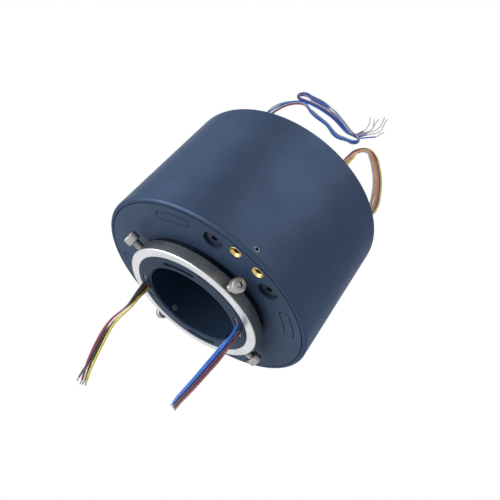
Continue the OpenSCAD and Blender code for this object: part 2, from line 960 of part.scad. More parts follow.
module rear_left_lead() {
    color([0.1, 0.3, 0.7])
        from_rear_face()
            tube(rear_left_route, bundle_d);
}

module rear_left_hank() {
    color([0.1, 0.3, 0.7])
        from_rear_face()
            hank(left_hank, left_hank_r, left_hank_h);
}

module rear_left_tail() {
    color([0.1, 0.3, 0.7])
        from_rear_face()
            tube(rear_left_tail_route, bundle_d);
}

// The stripped ends fan out on the surface that the leads lie on.
module rear_left_tips_tinned() {
    last = len(rear_left_tail_route) - 1;
    h = heading(rear_left_tail_route, last);
    b = cross(h, [0, 0, 1]);
    color([0.75, 0.75, 0.75])
        from_rear_face()
            for (i = [0 : 5])
                rod(
                    rear_left_tail_route[last] + tip_gap * h + (i - 2.5) * 0.62 * b
                        + [0, 0, i % 2 == 0 ? 0.8 : -0.8],
                    [rear_left_tips[i][0], rear_left_tips[i][1], floor_z + tinned_d / 2],
                    tinned_d
                );
}

module rear_right_lead() {
    color([0.85, 0.7, 0.15])
        from_rear_face()
            tube(rear_right_route, bundle_d);
}

module rear_right_hank() {
    color([0.85, 0.7, 0.15])
        from_rear_face()
            hank(right_hank, right_hank_r, right_hank_h);
}

// Six tinned ends that leave the hank's near end in a row.
module rear_right_tips() {
    spread = 1.2;
    color([0.75, 0.75, 0.75])
        from_rear_face()
            for (i = [0 : 5])
                translate([
                    right_hank[1][0] + (i - 2.5) * spread,
                    right_hank[1][1] - tip_gap - sqrt(pow(right_hank_r[1], 2) - pow((i - 2.5) * spread, 2)),
                    floor_z + right_hank_h / 2
                ])
                    rotate([90, 0, 0])
                        cylinder(d = tinned_d, h = tinned_l, $fn = 16);
}

// A tie that is drawn round the middle of the hank.
module hank_tie() {
    d = right_hank[1] - right_hank[0];
    inner = right_hank_r[0] + fit;
    outer = inner + tie_t;
    color([0.1, 0.1, 0.1])
        from_rear_face()
            translate([right_hank[0][0], right_hank[0][1], floor_z])
                rotate([0, 0, atan2(d[1], d[0])])
                    translate([norm(d) / 2, 0, 0])
                        difference() {
                            translate([-tie_w / 2, -outer, 0])
                                cube([tie_w, 2 * outer, right_hank_h + fit + tie_t]);
                            translate([-tie_w, -inner, -eps])
                                cube([2 * tie_w, 2 * inner, right_hank_h + fit + eps]);
                        }
}

shell();
front_cap();
rear_cap();
front_outlet_plugs();
rear_outlet_plugs();
lead_grommets();
threaded_inserts();
front_cap_screws();
rear_cap_screws();
shell_set_screws();
front_outer_race();
rear_outer_race();
brush_holder_a();
brush_holder_b();
brushes_a();
brushes_b();
sleeve();
clamp_collar();
ring_barrel();
contact_rings();
front_inner_race();
rear_inner_race();
front_retaining_ring();
rear_retaining_ring();
slot_potting();
slot_wires();
front_balls();
front_cage();
rear_balls();
rear_cage();
clamp_screw(0);  // clamp_screw_1
clamp_screw(1);  // clamp_screw_2
clamp_screw(2);  // clamp_screw_3
clamp_screw(3);  // clamp_screw_4
front_left_lead();
front_left_tips();
front_right_lead();
front_right_tips();
inner_stator_leads();
rear_left_lead();
rear_left_hank();
rear_left_tail();
rear_left_tips_tinned();
rear_right_lead();
rear_right_hank();
rear_right_tips();
hank_tie();
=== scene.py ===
"""A through-bore slip ring: finishes, screws with threads, and every lead as its own wire."""

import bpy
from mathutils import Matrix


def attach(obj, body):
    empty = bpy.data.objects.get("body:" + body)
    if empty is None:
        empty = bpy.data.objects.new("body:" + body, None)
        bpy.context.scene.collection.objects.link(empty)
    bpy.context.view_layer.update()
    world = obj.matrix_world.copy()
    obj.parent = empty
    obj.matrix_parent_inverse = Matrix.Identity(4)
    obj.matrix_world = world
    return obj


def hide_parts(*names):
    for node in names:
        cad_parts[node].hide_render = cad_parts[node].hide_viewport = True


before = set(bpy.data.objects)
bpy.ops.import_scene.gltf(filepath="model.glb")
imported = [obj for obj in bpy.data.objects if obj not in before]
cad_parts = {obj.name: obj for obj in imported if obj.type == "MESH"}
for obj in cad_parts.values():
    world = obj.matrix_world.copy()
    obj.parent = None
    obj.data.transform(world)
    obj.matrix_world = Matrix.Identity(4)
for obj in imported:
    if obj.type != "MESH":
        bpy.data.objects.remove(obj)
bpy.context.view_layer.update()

import logging
import math
from dataclasses import dataclass
from enum import Enum
from typing import Sequence

import bmesh
import bpy
from mathutils import Vector

LOG = logging.getLogger("slip_ring")
MM = 0.001
Point = tuple[float, float, float]
Rgb = tuple[float, float, float]
Ring = Sequence[bmesh.types.BMVert]

# The housing's rear face along the bore and its lowest line, in millimetres.
REAR_FACE = 75.5
FLOOR = -59.5

# A noise texture stays mostly between these two values.
NOISE_LOW = 0.3
NOISE_HIGH = 0.7


def metres(point: Sequence[float]) -> Vector:
    """Turns a point in millimetres into a vector in metres."""
    return Vector(point) * MM


# ------------------------------------------------------------------ finishes


class NodeTree:
    """A tree of shader nodes, with short calls to add and link them."""

    def __init__(self, tree: bpy.types.NodeTree, output: str) -> None:
        """Empties the tree and adds its output.

        Args:
            tree: The tree of a material or a world.
            output: The Blender type of its output node.
        """
        self.tree = tree
        self.tree.nodes.clear()
        self.output = self.add(output)

    def add(self, kind: str, **settings: object) -> bpy.types.Node:
        """Adds a node.

        Args:
            kind: The node's Blender type.
            settings: Attributes to set on it.

        Returns:
            The new node.
        """
        node = self.tree.nodes.new(kind)
        for key, value in settings.items():
            setattr(node, key, value)
        return node

    def link(self, source: bpy.types.Node, output: str, target: bpy.types.Node, socket: str | int) -> None:
        """Links one node's output to another's input."""
        self.tree.links.new(source.outputs[output], target.inputs[socket])


class Graph(NodeTree):
    """The nodes of one material, around a Principled shader."""

    def __init__(self, name: str) -> None:
        """Starts a material that holds a Principled shader and its output.

        Args:
            name: The material's name.
        """
        self.material = bpy.data.materials.new(name)
        self.material.use_nodes = True
        super().__init__(self.material.node_tree, "ShaderNodeOutputMaterial")
        self.shader = self.add("ShaderNodeBsdfPrincipled")
        self.link(self.shader, "BSDF", self.output, "Surface")

    def place(self) -> bpy.types.Node:
        """Adds the coordinates of the surface, in metres, as they are at rest."""
        return self.add("ShaderNodeTexCoord")

    def noise(self, scale: float, detail: float = 3.0, stretch: Point = (1.0, 1.0, 1.0)) -> bpy.types.Node:
        """Adds a noise texture on the object's own coordinates.

        Args:
            scale: Features per metre.
            detail: Octaves of finer noise.
            stretch: Factors on the coordinates, which draw the noise out.

        Returns:
            The noise node, whose output "Fac" is around 0.5.
        """
        mapping = self.add("ShaderNodeMapping")
        mapping.inputs["Scale"].default_value = stretch
        self.link(self.place(), "Object", mapping, "Vector")
        node = self.add("ShaderNodeTexNoise")
        node.inputs["Scale"].default_value = scale
        node.inputs["Detail"].default_value = detail
        self.link(mapping, "Vector", node, "Vector")
        return node

    def tint(self, source: bpy.types.Node, low: Rgb, high: Rgb, ends: tuple[float, float]) -> None:
        """Lets the base colour vary over the surface between two colours.

        Args:
            source: The noise that drives it.
            low: The colour where the noise is low.
            high: The colour where the noise is high.
            ends: The noise's values that give the two colours.
        """
        node = self.add("ShaderNodeValToRGB")
        for element, position, colour in zip(node.color_ramp.elements, ends, (low, high)):
            element.position = position
            element.color = (*colour, 1.0)
        self.link(source, "Fac", node, "Fac")
        self.link(node, "Color", self.shader, "Base Color")

    def wear(self, source: bpy.types.Node, low: float, high: float) -> None:
        """Lets the roughness vary over the surface.

        Args:
            source: The noise that drives it.
            low: The roughness where the noise is low.
            high: The roughness where the noise is high.
        """
        node = self.add("ShaderNodeMapRange")
        node.inputs["From Min"].default_value = NOISE_LOW
        node.inputs["From Max"].default_value = NOISE_HIGH
        node.inputs["To Min"].default_value = low
        node.inputs["To Max"].default_value = high
        self.link(source, "Fac", node, "Value")
        self.link(node, "Result", self.shader, "Roughness")

    def bump(self, source: bpy.types.Node, height: float, strength: float) -> None:
        """Puts a bump on the shader.

        Args:
            source: The noise that gives the height, from 0 to 1.
            height: The bump's height in metres.
            strength: How much of it shows.
        """
        node = self.add("ShaderNodeBump")
        node.inputs["Distance"].default_value = height
        node.inputs["Strength"].default_value = strength
        self.link(source, "Fac", node, "Height")
        self.link(node, "Normal", self.shader, "Normal")

    def radius(self) -> bpy.types.Node:
        """Adds the distance from the bore's axis.

        Returns:
            The node, whose output is "Value".
        """
        split = self.add("ShaderNodeSeparateXYZ")
        self.link(self.place(), "Object", split, "Vector")
        flat = self.add("ShaderNodeCombineXYZ")
        self.link(split, "X", flat, "X")
        self.link(split, "Z", flat, "Z")
        length = self.add("ShaderNodeVectorMath", operation="LENGTH")
        self.link(flat, "Vector", length, 0)
        return length


@dataclass(frozen=True)
class Finish:
    """A surface finish: clouds in its colour, patches of more or less gloss, and a fine relief.

    Scales are in features per metre and the relief's height is in metres.
    """

    name: str
    colour: Rgb
    roughness: float = 0.5
    metallic: float = 0.0
    clouds: float = 180.0
    cloud_detail: float = 4.0
    cloud_ends: tuple[float, float] = (NOISE_LOW, NOISE_HIGH)
    dark: float = 0.85
    light: float = 1.15
    patches: float = 400.0
    patch_detail: float = 3.0
    polish: float = 0.06
    dulling: float = 0.06
    relief: float = 1500.0
    relief_detail: float = 3.0
    relief_stretch: Point = (1.0, 1.0, 1.0)
    relief_height: float = 0.00005
    relief_strength: float = 0.3

    def build(self) -> bpy.types.Material:
        """Builds the material.

        Returns:
            The material.
        """
        graph = Graph(self.name)
        graph.shader.inputs["Base Color"].default_value = (*self.colour, 1.0)
        graph.shader.inputs["Metallic"].default_value = self.metallic
        graph.shader.inputs["Roughness"].default_value = self.roughness
        self.detail(graph)
        return graph.material

    def detail(self, graph: Graph) -> None:
        """Adds the clouds, the patches and the relief.

        Args:
            graph: The material's nodes.
        """
        self.cloud(graph, graph.noise(self.clouds, self.cloud_detail))
        gloss = graph.noise(self.patches, self.patch_detail)
        graph.wear(gloss, self.roughness - self.polish, self.roughness + self.dulling)
        graph.bump(self.surface(graph), self.relief_height, self.relief_strength)

    def cloud(self, graph: Graph, source: bpy.types.Node) -> None:
        """Darkens and lightens the colour with a noise."""
        graph.tint(source, self.shade(self.dark), self.shade(self.light), self.cloud_ends)

    def surface(self, graph: Graph) -> bpy.types.Node:
        """Adds the noise that gives the relief's height."""
        return graph.noise(self.relief, self.relief_detail, self.relief_stretch)

    def shade(self, factor: float) -> Rgb:
        """Gives the finish's colour, darker or lighter by a factor."""
        return tuple(min(1.0, channel * factor) for channel in self.colour)


@dataclass(frozen=True)
class Anodised(Finish):
    """Blasted and anodised aluminium: a fine even grain, a faint mottle, and a dull blue sheen."""

    clouds: float = 28.0
    dark: float = 0.88
    light: float = 1.12
    patches: float = 90.0
    patch_detail: float = 5.0
    polish: float = 0.05
    dulling: float = 0.05
    relief: float = 5200.0
    relief_detail: float = 2.0
    relief_height: float = 0.00002
    relief_strength: float = 0.35
    sheen: float = 0.15
    sheen_colour: Rgb = (0.35, 0.45, 0.62)

    def detail(self, graph: Graph) -> None:
        """Adds the clouds, patches and grain, and sets the sheen.

        Args:
            graph: The material's nodes.
        """
        super().detail(graph)
        graph.shader.inputs["Specular IOR Level"].default_value = self.sheen
        graph.shader.inputs["Specular Tint"].default_value = (*self.sheen_colour, 1.0)


@dataclass(frozen=True)
class Turned(Finish):
    """Metal from the lathe: fine rings around the bore's axis, and some handling marks."""

    pitch: float = 0.00022
    clouds: float = 70.0
    dark: float = 0.92
    light: float = 1.08
    patches: float = 160.0
    patch_detail: float = 5.0
    dulling: float = 0.07
    relief_detail: float = 2.0
    relief_height: float = 0.00001

    def surface(self, graph: Graph) -> bpy.types.Node:
        """Adds the turning marks, which change with the radius and along the bore only.

        Args:
            graph: The material's nodes.

        Returns:
            The noise that gives the marks' height.
        """
        split = graph.add("ShaderNodeSeparateXYZ")
        graph.link(graph.place(), "Object", split, "Vector")
        total = graph.add("ShaderNodeMath", operation="ADD")
        graph.link(graph.radius(), "Value", total, 0)
        graph.link(split, "Y", total, 1)
        line = graph.add("ShaderNodeCombineXYZ")
        graph.link(total, "Value", line, "X")
        rings = graph.add("ShaderNodeTexNoise")
        rings.inputs["Scale"].default_value = 1.0 / self.pitch
        rings.inputs["Detail"].default_value = self.relief_detail
        graph.link(line, "Vector", rings, "Vector")
        return rings


@dataclass(frozen=True)
class TurnedShadedSide(Turned):
    """A turned ring whose end faces keep their colour and whose side is painted darker, as painted shade."""

    # How much colour the painted shade leaves on the side, against the end faces.
    rim: float = 0.32

    def detail(self, graph: Graph) -> None:
        """Adds the turning marks, and darkens what doesn't face along the bore: painted shade on the ring's
        side.

        Args:
            graph: The material's nodes.
        """
        super().detail(graph)
        tone = graph.shader.inputs["Base Color"].links[0].from_socket
        geometry = graph.add("ShaderNodeNewGeometry")
        split = graph.add("ShaderNodeSeparateXYZ")
        graph.link(geometry, "Normal", split, "Vector")
        facing = graph.add("ShaderNodeMath", operation="ABSOLUTE")
        graph.link(split, "Y", facing, 0)
        # Painted shade: the colour falls where the surface faces across the bore.
        level = graph.add("ShaderNodeMapRange")
        level.inputs["To Min"].default_value = self.rim
        graph.link(facing, "Value", level, "Value")
        scaled = graph.add("ShaderNodeVectorMath", operation="SCALE")
        graph.tree.links.new(tone, scaled.inputs[0])
        graph.link(level, "Result", scaled, "Scale")
        graph.link(scaled, "Vector", graph.shader, "Base Color")


@dataclass(frozen=True)
class Plain(Finish):
    """Machined or ground metal without a lay, with fine scratches."""

    clouds: float = 120.0
    light: float = 1.12
    patches: float = 240.0
    patch_detail: float = 4.0
    polish: float = 0.07
    dulling: float = 0.08
    relief: float = 900.0
    relief_detail: float = 6.0
    relief_stretch: Point = (1.0, 0.12, 1.0)
    relief_height: float = 0.00001
    relief_strength: float = 0.25


@dataclass(frozen=True)
class Jacket(Finish):
    """Wire insulation: smooth, a little glossy, faintly uneven."""

    clouds: float = 350.0
    cloud_detail: float = 3.0
    dark: float = 0.86
    light: float = 1.1
    patches: float = 500.0
    polish: float = 0.05
    dulling: float = 0.08
    relief: float = 900.0
    relief_detail: float = 2.0
    relief_height: float = 0.00004
    relief_strength: float = 0.15
    coat: float = 0.15

    def detail(self, graph: Graph) -> None:
        """Adds the clouds, patches and ripple, and a thin clear coat.

        Args:
            graph: The material's nodes.
        """
        super().detail(graph)
        graph.shader.inputs["Coat Weight"].default_value = self.coat


@dataclass(frozen=True)
class Strands(Finish):
    """Tinned strands, twisted together: the lines between them are sunk, and painted darker as painted shade.
    """

    cloud_ends: tuple[float, float] = (0.35, 0.62)
    # How dark the painted shade in the lines between the strands is.
    dark: float = 0.55
    relief: float = 2600.0
    relief_detail: float = 2.0
    relief_stretch: Point = (1.0, 0.35, 1.0)
    relief_height: float = 0.00012
    relief_strength: float = 0.7

    def detail(self, graph: Graph) -> None:
        """Adds the lines between the strands, sunk and darkened as painted shade.

        Args:
            graph: The material's nodes.
        """
        lines = self.surface(graph)
        graph.bump(lines, self.relief_height, self.relief_strength)
        # The same lines darken the colour where they sink: painted shade between the strands.
        self.cloud(graph, lines)


@dataclass(frozen=True)
class Moulded(Finish):
    """Plastic, resin, laminate or rubber with a matte skin."""


SHELL = Anodised("shell_anodised", (0.046, 0.068, 0.116), 0.40, 0.6)
CAP = Anodised("cap_anodised", (0.042, 0.064, 0.108), 0.46, 0.25)
SLEEVE = Anodised("sleeve_anodised", (0.020, 0.034, 0.062), 0.38, 0.22)
# The collar's side is painted darker than its end faces, as painted shade.
COLLAR = TurnedShadedSide("collar_turned", (0.71, 0.715, 0.73), 0.34, 0.85)
BRASS = Turned("insert_brass", (0.62, 0.45, 0.18), 0.36, 1.0)
RING_METAL = Turned("ring_metal", (0.86, 0.62, 0.24), 0.22, 1.0)
SCREW_STEEL = Plain("screw_steel", (0.40, 0.39, 0.39), 0.32, 1.0)
BLACK_STEEL = Plain("black_oxide", (0.036, 0.050, 0.080), 0.30, 0.6)
SET_STEEL = Plain("set_screw_steel", (0.10, 0.12, 0.15), 0.30, 0.9)
SPRING_STEEL = Plain("spring_steel", (0.14, 0.14, 0.15), 0.35, 0.9)
BEARING_STEEL = Plain("bearing_steel", (0.62, 0.62, 0.64), 0.18, 1.0)
CAGE_METAL = Plain("cage_metal", (0.56, 0.42, 0.20), 0.36, 1.0)
BRUSH_METAL = Plain("brush_metal", (0.84, 0.66, 0.28), 0.25, 1.0)
TINNED = Strands("tinned_strands", (0.36, 0.36, 0.37), 0.38, 0.9)
RESIN = Moulded("slot_resin", (0.10, 0.12, 0.15), 0.42)
BOARD = Moulded("board_laminate", (0.50, 0.42, 0.24), 0.5)
BARREL = Moulded("barrel_plastic", (0.62, 0.58, 0.48), 0.5)
RUBBER = Moulded("grommet_rubber", (0.018, 0.018, 0.020), 0.6)
NYLON = Moulded("tie_nylon", (0.02, 0.02, 0.022), 0.4)


class WireColour(Enum):
    """The colours of the leads, each with its jacket."""

    BLUE = Jacket("wire_blue", (0.008, 0.125, 0.52), 0.36)
    SKY_BLUE = Jacket("wire_sky_blue", (0.020, 0.19, 0.62), 0.36)
    DARK_BLUE = Jacket("wire_dark_blue", (0.012, 0.040, 0.24), 0.36)
    LILAC = Jacket("wire_lilac", (0.43, 0.37, 0.46), 0.38)
    GREY = Jacket("wire_grey", (0.33, 0.38, 0.44), 0.4)
    BROWN_RED = Jacket("wire_brown_red", (0.26, 0.055, 0.060), 0.38)
    PURPLE = Jacket("wire_purple", (0.085, 0.030, 0.11), 0.38)
    RED = Jacket("wire_red", (0.27, 0.022, 0.038), 0.38)
    MAROON = Jacket("wire_maroon", (0.15, 0.018, 0.032), 0.38)
    BLACK = Jacket("wire_black", (0.012, 0.012, 0.016), 0.36)
    YELLOW = Jacket("wire_yellow", (0.80, 0.63, 0.07), 0.38)
    OLIVE = Jacket("wire_olive", (0.42, 0.38, 0.10), 0.4)
    TEAL = Jacket("wire_teal", (0.010, 0.135, 0.125), 0.38)
    WHITE = Jacket("wire_white", (0.66, 0.64, 0.66), 0.4)
    ORANGE = Jacket("wire_orange", (0.62, 0.25, 0.04), 0.38)
    PINK = Jacket("wire_pink", (0.55, 0.13, 0.14), 0.38)


class Wardrobe:
    """Builds each finish once and hands it out."""

    def __init__(self) -> None:
        """Starts with no materials built."""
        self.made: dict[str, bpy.types.Material] = {}

    def material(self, finish: Finish) -> bpy.types.Material:
        """Gives a finish's material, building it the first time.

        Args:
            finish: The finish.

        Returns:
            Its material.
        """
        if finish.name not in self.made:
            self.made[finish.name] = finish.build()
        return self.made[finish.name]

    def dress(self, piece: bpy.types.Object, finish: Finish) -> None:
        """Gives a piece one finish all over.

        Args:
            piece: The piece.
            finish: Its finish.
        """
        piece.data.materials.clear()
        piece.data.materials.append(self.material(finish))


# ------------------------------------------------------------------ camera and room


@dataclass(frozen=True)
class Lamp:
    """A square area lamp. It hangs at a spot and faces a point, both in millimetres."""

    name: str
    spot: Point
    aim: Point
    size: float
    power: float
    colour: Rgb

    def hang(self) -> None:
        """Adds the lamp to the scene."""
        data = bpy.data.lights.new(self.name, "AREA")
        data.size = self.size
        data.energy = self.power
        data.color = self.colour
        lamp = bpy.data.objects.new(self.name, data)
        lamp.location = metres(self.spot)
        lamp.rotation_euler = (metres(self.aim) - metres(self.spot)).to_track_quat("-Z", "Y").to_euler()
        bpy.context.scene.collection.objects.link(lamp)
        LOG.info("lamp: %s", self.name)


@dataclass(frozen=True)
class Studio:
    """The camera, the floor and the light around the object.

    The eye is in millimetres, the two angles in degrees, and the floor's side and gap in metres.
    """

    eye: Point = (98.14, -108.98, 222.46)
    azimuth: float = 32.551
    elevation: float = 52.399
    lens: float = 37.758
    sensor: float = 36.0
    nearest: float = 0.01
    farthest: float = 100.0
    floor_side: float = 40.0
    floor_gap: float = 0.0002
    floor_colour: Rgb = (0.72, 0.72, 0.74)
    floor_roughness: float = 0.9
    room_colour: Rgb = (0.74, 0.84, 1.0)
    room_strength: float = 0.37
    lamps: tuple[Lamp, ...] = (
        Lamp("key", (195, 415, 365), (20, 60, 20), 0.50, 0.86, (1.0, 1.0, 1.0)),
        Lamp("front", (-330, -330, 250), (-20, 0, 0), 0.40, 2.7, (0.92, 0.96, 1.0)),
        Lamp("left", (-390, 220, 230), (0, 40, 0), 0.34, 0.36, (0.90, 0.95, 1.0)),
    )

    def place_camera(self) -> bpy.types.Object:
        """Makes the camera and sets it as the scene's.

        Returns:
            The camera.
        """
        data = bpy.data.cameras.new("camera")
        data.lens = self.lens
        data.sensor_width = self.sensor
        data.clip_start = self.nearest
        data.clip_end = self.farthest
        camera = bpy.data.objects.new("camera", data)
        camera.location = metres(self.eye)
        camera.rotation_euler = (math.radians(90 - self.elevation), 0.0, math.radians(self.azimuth))
        bpy.context.scene.collection.objects.link(camera)
        bpy.context.scene.camera = camera
        LOG.info("camera: %.1f mm lens", self.lens)
        return camera

    def lay_floor(self) -> None:
        """Lays the white floor under the lowest line of the object."""
        mesh = bpy.data.meshes.new("floor")
        side = self.floor_side / 2
        height = FLOOR * MM - self.floor_gap
        mesh.from_pydata(
            [(-side, -side, height), (side, -side, height), (side, side, height), (-side, side, height)],
            [],
            [(0, 1, 2, 3)],
        )
        floor = bpy.data.objects.new("floor", mesh)
        bpy.context.scene.collection.objects.link(floor)
        graph = Graph("floor_white")
        graph.shader.inputs["Base Color"].default_value = (*self.floor_colour, 1.0)
        graph.shader.inputs["Roughness"].default_value = self.floor_roughness
        white = graph.add("ShaderNodeEmission")
        white.inputs["Strength"].default_value = 1.0
        mix = graph.add("ShaderNodeMixShader")
        self.seen_directly(graph, mix)
        graph.link(graph.shader, "BSDF", mix, 1)
        graph.link(white, "Emission", mix, 2)
        graph.link(mix, "Shader", graph.output, "Surface")
        mesh.materials.append(graph.material)
        LOG.info("floor: %s", graph.material.name)

    def seen_directly(self, graph: NodeTree, mix: bpy.types.Node) -> None:
        """Drives a mix with the rays that see the background, directly, in metal or through glass.

        Args:
            graph: The nodes that the mix is in.
            mix: The mix, whose second shader is what those rays see.
        """
        rays = graph.add("ShaderNodeLightPath")
        source, output = rays, "Is Camera Ray"
        for other in ("Is Transmission Ray", "Is Glossy Ray"):
            either = graph.add("ShaderNodeMath", operation="MAXIMUM")
            graph.link(source, output, either, 0)
            graph.link(rays, other, either, 1)
            source, output = either, "Value"
        graph.link(source, output, mix, 0)

    def light_room(self) -> None:
        """Lights the room with an even world and the lamps."""
        world = bpy.data.worlds.new("room")
        world.use_nodes = True
        bpy.context.scene.world = world
        graph = NodeTree(world.node_tree, "ShaderNodeOutputWorld")
        even = graph.add("ShaderNodeBackground")
        even.inputs["Color"].default_value = (*self.room_colour, 1.0)
        even.inputs["Strength"].default_value = self.room_strength
        white = graph.add("ShaderNodeBackground")
        white.inputs["Color"].default_value = (1.0, 1.0, 1.0, 1.0)
        mix = graph.add("ShaderNodeMixShader")
        self.seen_directly(graph, mix)
        graph.link(even, "Background", mix, 1)
        graph.link(white, "Background", mix, 2)
        graph.link(mix, "Shader", graph.output, "Surface")
        for lamp in self.lamps:
            lamp.hang()


# ------------------------------------------------------------------ leads

# A wire over its insulation, its bare strands, and the height of a bundle's middle on the floor, all in
# millimetres, and the number of wires in a bundle.
WIRE_D = 1.15
TINNED_D = 0.8
LIE = -57.8
WIRES = 6

# How finely a wire's tube is divided between two points of its line, and around a quarter of its section.
STEPS_ALONG = 5
STEPS_AROUND = 3

# Where the wires of a bundle lie in its section: stacked at a fold, round in the air, spread on a surface, and
# side by side.
STACK_LANES = [(-0.58, -1.0), (0.58, -1.0), (-0.58, 0.1), (0.58, 0.1), (-0.58, 1.2), (0.58, 1.2)]
ROUND_LANES = [(-1.16, 0.0), (-0.58, -1.0), (0.58, -1.0), (1.16, 0.0), (-0.58, 1.0), (0.58, 1.0)]
FLAT_LANES = [(-1.77, -1.1), (-0.59, -1.1), (0.59, -1.1), (1.77, -1.1), (-1.18, -0.1), (1.18, -0.1)]
ROW_LANES = [(-3.0, -1.1), (-1.8, -1.1), (-0.6, -1.1), (0.6, -1.1), (1.8, -1.1), (3.0, -1.1)]


class Body(Enum):
    """The moving bodies that leads are fixed to."""

    ROTOR = "rotor"
    STATOR = "stator"


class Slot(Enum):
    """Names of material slots, which each bundle holds and nothing reads."""

    BLUE_WIRE = "blue_insulation"
    RED_WIRE = "red_insulation"
    YELLOW_WIRE = "yellow_insulation"
    TINNED_WIRE = "tinned_copper"
    BRIGHT_STEEL = "bright_steel"


@dataclass(frozen=True)
class Stop:
    """One given point of a bundle's route, in millimetres.

    flat says how the wires lie there: -1 is stacked, 0 round, 1 spread, 2 a single row. row is how far they
    still stand in the row in which they leave their slot, from 1 to 0.
    """

    at: Point
    flat: float = 0.0
    row: float = 0.0


def from_rear_face(points: Sequence[Point]) -> list[Point]:
    """Moves points that are counted from the rear face into the frame."""
    return [(x, y + REAR_FACE, z) for x, y, z in points]


def smooth(amount: float) -> float:
    """Eases an amount from 0 to 1."""
    amount = min(1.0, max(0.0, amount))
    return amount * amount * (3 - 2 * amount)


@dataclass(frozen=True)
class Bow:
    """A stretch where a wire strays: middle and half as shares of the route, side and up in millimetres."""

    middle: float
    half: float
    side: float
    up: float

    def ease(self, share: float) -> float:
        """Gives how much the wire strays at a share of the route, from 0 to 1."""
        distance = abs(share - self.middle) / self.half
        return math.cos(distance * math.pi / 2) ** 2 if distance < 1 else 0.0


@dataclass(frozen=True)
class Wire:
    """One wire of a bundle: its colour, its lane at each station, and how it strays from the bundle.

    After the bundle's route it goes on along its tail. Its bare end follows its tip, or else a short line.
    """

    colour: WireColour
    lanes: tuple[int, ...]
    bows: tuple[Bow, ...] = ()
    tail: tuple[Point, ...] = ()
    tip: tuple[Point, ...] = ()


@dataclass
class Bundle:
    """A bundle of wires that leaves the object together.

    Its stations are shares of the route's length. Between two stations a wire moves from one lane to another.
    Its exit row holds where each wire leaves the slot, from the middle of the route's first point.
    """

    name: str
    body: Body
    slot: Slot
    nodes: tuple[str, ...]
    route: list[Stop]
    wires: list[Wire]
    stations: tuple[float, ...]
    exit_row: tuple[Point, ...] = ()
    lay: str = "loose"
    section: Sequence[tuple[float, float]] = tuple(FLAT_LANES)
    tip_length: float = 5.0
    tip_lean: float = 0.12
    tip_steps: tuple[float, ...] = (0.35, 0.7, 1.0)

    def lane(self, wire: Wire, share: float, flat: float) -> tuple[float, float]:
        """Gives a wire's place in the section.

        Args:
            wire: The wire.
            share: The share of the route's length.
            flat: How flat the bundle lies there.

        Returns:
            The offsets to the side and up, in millimetres.
        """
        k = max(i for i, station in enumerate(self.stations) if station <= share)
        k = min(k, len(self.stations) - 2)
        blend = smooth((share - self.stations[k]) / (self.stations[k + 1] - self.stations[k]))
        side = up = 0.0
        for lane, weight in ((wire.lanes[k], 1 - blend), (wire.lanes[k + 1], blend)):
            for lanes, kind in (
                (STACK_LANES, max(0.0, -flat)),
                (ROUND_LANES, max(0.0, 1 - abs(flat))),
                (self.section, max(0.0, 1 - abs(flat - 1))),
                (ROW_LANES, max(0.0, flat - 1)),
            ):
                side += weight * kind * lanes[lane][0]
                up += weight * kind * lanes[lane][1]
        for bow in wire.bows:
            side += bow.ease(share) * bow.side
            up += bow.ease(share) * bow.up
        return side, up

    def path(self, index: int) -> list[Vector]:
        """Works out the line of one wire.

        Args:
            index: The wire's place in the bundle.

        Returns:
            Its points, in metres.
        """
        wire = self.wires[index]
        line = [Vector(stop.at) for stop in self.route]
        lengths = [0.0]
        for before, after in zip(line, line[1:]):
            lengths.append(lengths[-1] + (after - before).length)
        points = []
        for i, stop in enumerate(self.route):
            ahead = (line[min(i + 1, len(line) - 1)] - line[max(i - 1, 0)]).normalized()
            side = ahead.cross(Vector((0, 0, 1))).normalized()
            up = side.cross(ahead)
            to_side, to_up = self.lane(wire, lengths[i] / lengths[-1], stop.flat)
            offset = side * to_side + up * to_up
            if self.exit_row:
                offset = offset.lerp(Vector(self.exit_row[index]), stop.row)
            point = line[i] + offset
            point.z = max(point.z, FLOOR + WIRE_D / 2)
            points.append(point * MM)
        points.extend(metres(point) for point in wire.tail)
        return points

    def make(self, wardrobe: Wardrobe) -> None:
        """Builds the bundle's wires and their bare ends, and logs each wire's name and length.

        Args:
            wardrobe: The finishes.
        """
        for index, wire in enumerate(self.wires):
            name = f"{self.name}_{index + 1}_{wire.colour.name.lower()}"
            points = self.path(index)
            piece = tube(name, points, WIRE_D)
            wardrobe.dress(piece, wire.colour.value)
            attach(piece, self.body.value)
            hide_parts(*self.nodes)
            tip = self.bare_end(index, points, wardrobe)
            LOG.info("%s: %.0f mm", name, line_length(piece) / MM)

    def bare_end(self, index: int, points: Sequence[Vector], wardrobe: Wardrobe) -> bpy.types.Object:
        """Builds the bare end of one wire.

        Args:
            index: The wire's place in the bundle.
            points: The wire's line, in metres.
            wardrobe: The finishes.

        Returns:
            The bare end.
        """
        wire = self.wires[index]
        end = points[-1]
        ahead = (points[-1] - points[-2]).normalized()
        if wire.tip:
            line = [end - ahead * MM, end, *(metres(point) for point in wire.tip)]
        else:
            lean = Vector((math.sin(index * 2.1), math.cos(index * 1.3), 0.0)) * self.tip_lean
            line = [end - ahead * MM, end]
            for step in self.tip_steps:
                line.append(end + (ahead + lean * step) * self.tip_length * step * MM)
        piece = tube(f"{self.name}_{index + 1}_bare_end", line, TINNED_D)
        wardrobe.dress(piece, TINNED)
        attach(piece, self.body.value)
        return piece


